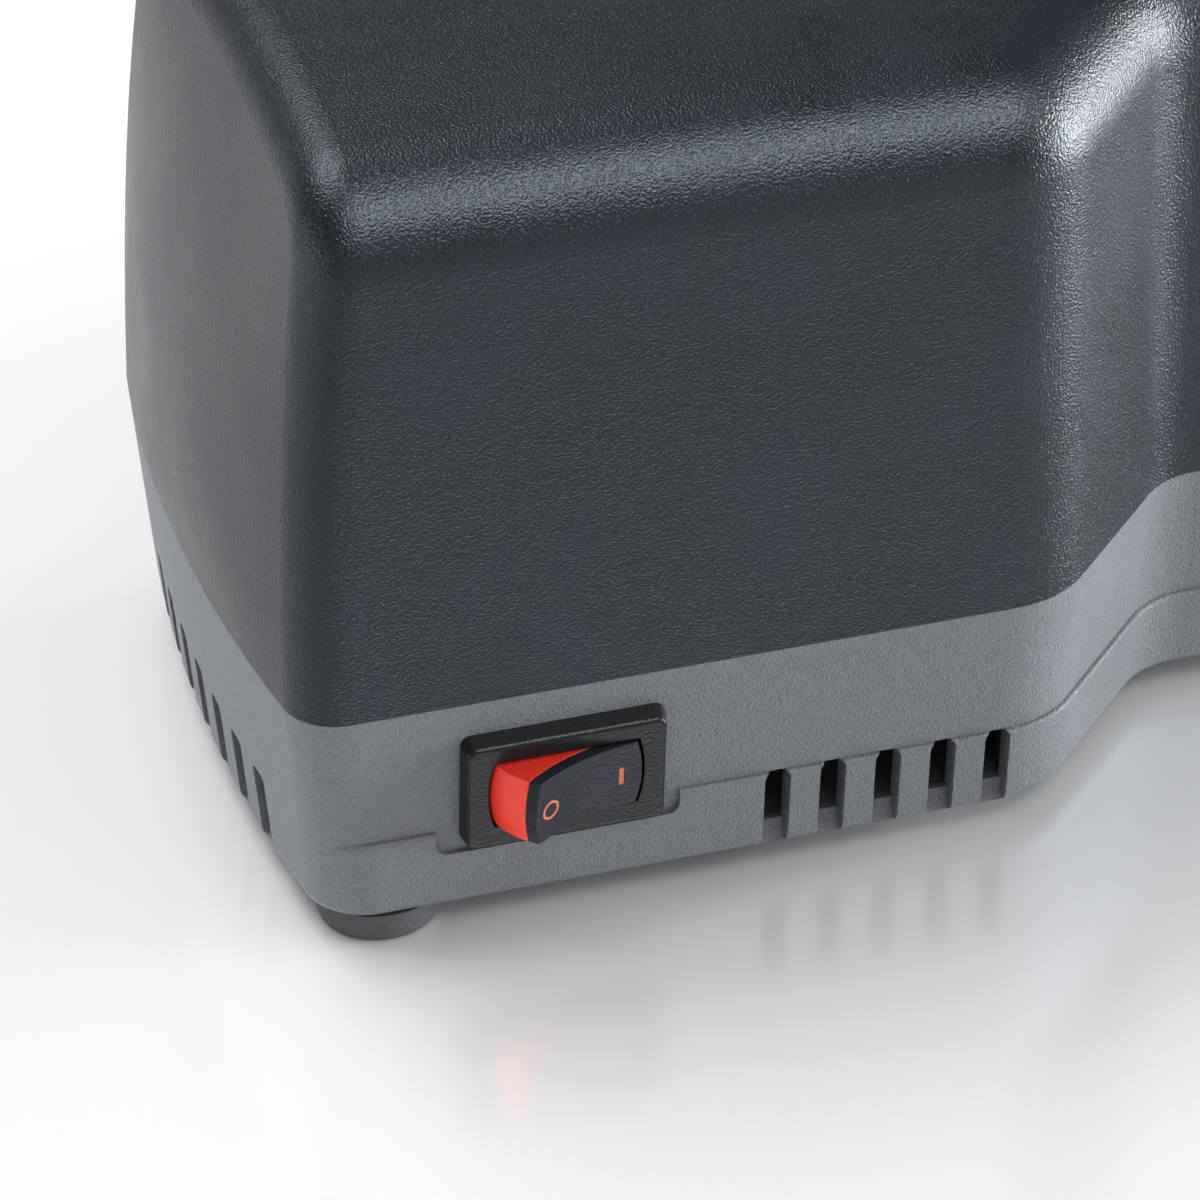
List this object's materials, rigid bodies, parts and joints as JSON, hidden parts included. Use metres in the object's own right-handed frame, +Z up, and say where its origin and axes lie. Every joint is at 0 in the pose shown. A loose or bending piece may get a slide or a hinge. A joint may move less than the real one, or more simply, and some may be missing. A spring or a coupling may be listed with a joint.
{
  "type": "electric knife sharpener",
  "caption": "Electric knife sharpener: black housing with an angled-slot guide over sprung conical discs, grey vented base, rocker switch and rubber feet.",
  "frame": {"origin": "on the table, under the middle of the overall box", "axes": "+X from the motor end to the sharpening end, +Y from the switch side to the rear, +Z up"},
  "size_m": [0.2574, 0.1192, 0.1215],
  "materials": {
    "black_textured": "fine texture",
    "black_insert": "satin",
    "grey_textured": "fine texture",
    "dark_rubber": "matt",
    "black_switch": "satin",
    "red_switch": "satin",
    "brass_blade": "plain",
    "black_nylon": "satin",
    "lamination_steel": "varnished edges",
    "copper": "plain",
    "natural_nylon": "satin",
    "cast_alloy": "as cast",
    "bronze": "sintered",
    "zinc_steel": "zinc plated",
    "bright_steel": "ground",
    "fibre": "matt",
    "diamond_coat": "fine grit",
    "grey_plastic": "satin",
    "ferrite": "matt"
  },
  "bodies": {
    "housing": {"top_cover": "black_textured", "guide_module": "black_insert", "base_tray": "grey_textured", "foot_front_left": "dark_rubber", "foot_rear_left": "dark_rubber", "foot_front_right": "dark_rubber", "foot_rear_right": "dark_rubber", "switch_housing": "black_switch", "switch_terminals": "brass_blade", "cord_gland": "black_nylon", "stator_laminations": "lamination_steel", "shading_rings": "copper", "coil_winding": "copper", "coil_bobbin": "natural_nylon", "bearing_block": "natural_nylon", "motor_bracket_left": "cast_alloy", "motor_bracket_right": "cast_alloy", "motor_bush_left": "bronze", "motor_bush_right": "bronze", "end_bush": "bronze", "case_screws": "zinc_steel", "motor_bolts": "zinc_steel", "motor_screws": "zinc_steel", "block_screws": "zinc_steel", "dust_shield": "grey_plastic", "guide_magnets": "ferrite"},
    "rocker": {"rocker_cap": "black_switch", "rocker_body": "red_switch"},
    "spindle": {"motor_shaft": "bright_steel", "rotor_core": "lamination_steel", "rotor_rings": "cast_alloy", "cooling_fan": "black_nylon", "thrust_washer": "fibre", "shaft_collar": "bright_steel", "drive_pins": "bright_steel", "disc_spring_1": "bright_steel", "disc_spring_2": "bright_steel", "disc_spring_3": "bright_steel"},
    "clean_out": {"clean_out_door": "grey_textured", "filings_magnet": "ferrite"},
    "disc_1_left": {"disc_1_left": "diamond_coat"},
    "disc_1_right": {"disc_1_right": "diamond_coat"},
    "disc_2_left": {"disc_2_left": "diamond_coat"},
    "disc_2_right": {"disc_2_right": "diamond_coat"},
    "disc_3_left": {"disc_3_left": "diamond_coat"},
    "disc_3_right": {"disc_3_right": "diamond_coat"}
  },
  "joints": [
    {"name": "rocker_turn", "type": "hinge", "parent": "housing", "child": "rocker", "pos_m": [-0.0867, -0.04998, 0.02492], "axis": [0, 0.0767, -0.9971], "range_deg": [0, 37.5]},
    {"name": "spindle_spin", "type": "hinge", "parent": "housing", "child": "spindle", "pos_m": [0, 0, 0.078], "axis": [1, 0, 0], "continuous": true},
    {"name": "clean_out_swing", "type": "hinge", "parent": "housing", "child": "clean_out", "pos_m": [0.04155, 0, 0.00575], "axis": [0, 1, 0], "range_deg": [0, 75]},
    {"name": "disc_1_left_slide", "type": "slide", "parent": "spindle", "child": "disc_1_left", "axis": [1, 0, 0], "range_m": [0, 0.0018], "stiffness_N_per_m": 800, "springref_m": -0.002, "deforming": ["disc_spring_1"]},
    {"name": "disc_1_right_slide", "type": "slide", "parent": "spindle", "child": "disc_1_right", "axis": [-1, 0, 0], "range_m": [0, 0.0018], "stiffness_N_per_m": 800, "springref_m": -0.002, "deforming": ["disc_spring_1"]},
    {"name": "disc_2_left_slide", "type": "slide", "parent": "spindle", "child": "disc_2_left", "axis": [1, 0, 0], "range_m": [0, 0.0018], "stiffness_N_per_m": 800, "springref_m": -0.002, "deforming": ["disc_spring_2"]},
    {"name": "disc_2_right_slide", "type": "slide", "parent": "spindle", "child": "disc_2_right", "axis": [-1, 0, 0], "range_m": [0, 0.0018], "stiffness_N_per_m": 800, "springref_m": -0.002, "deforming": ["disc_spring_2"]},
    {"name": "disc_3_left_slide", "type": "slide", "parent": "spindle", "child": "disc_3_left", "axis": [1, 0, 0], "range_m": [0, 0.0018], "stiffness_N_per_m": 800, "springref_m": -0.002, "deforming": ["disc_spring_3"]},
    {"name": "disc_3_right_slide", "type": "slide", "parent": "spindle", "child": "disc_3_right", "axis": [-1, 0, 0], "range_m": [0, 0.0018], "stiffness_N_per_m": 800, "springref_m": -0.002, "deforming": ["disc_spring_3"]}
  ]
}
